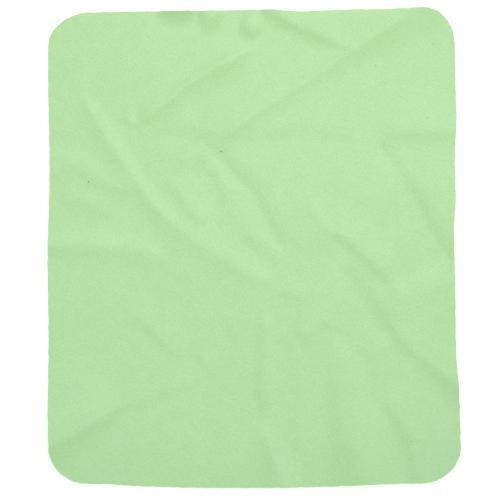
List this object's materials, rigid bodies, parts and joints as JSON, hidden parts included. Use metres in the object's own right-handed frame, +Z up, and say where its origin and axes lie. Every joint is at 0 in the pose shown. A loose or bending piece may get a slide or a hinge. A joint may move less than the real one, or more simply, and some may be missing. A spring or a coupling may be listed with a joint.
{
  "type": "microfibre cleaning cloth",
  "caption": "Thin soft cleaning cloth with rounded corners, lying flat with shallow creases, for wiping and polishing.",
  "frame": {"origin": "centre of the cloth's bounding box, on the surface it lies on", "axes": "+Z up through the cloth, +Y along its length, +X across its width"},
  "size_m": [0.155, 0.1804, 0.0045],
  "materials": {
    "light_green_microfibre": "matt suede-like knit, light green"
  },
  "bodies": {
    "root": {"microfibre_cloth": "light_green_microfibre"}
  },
  "joints": []
}
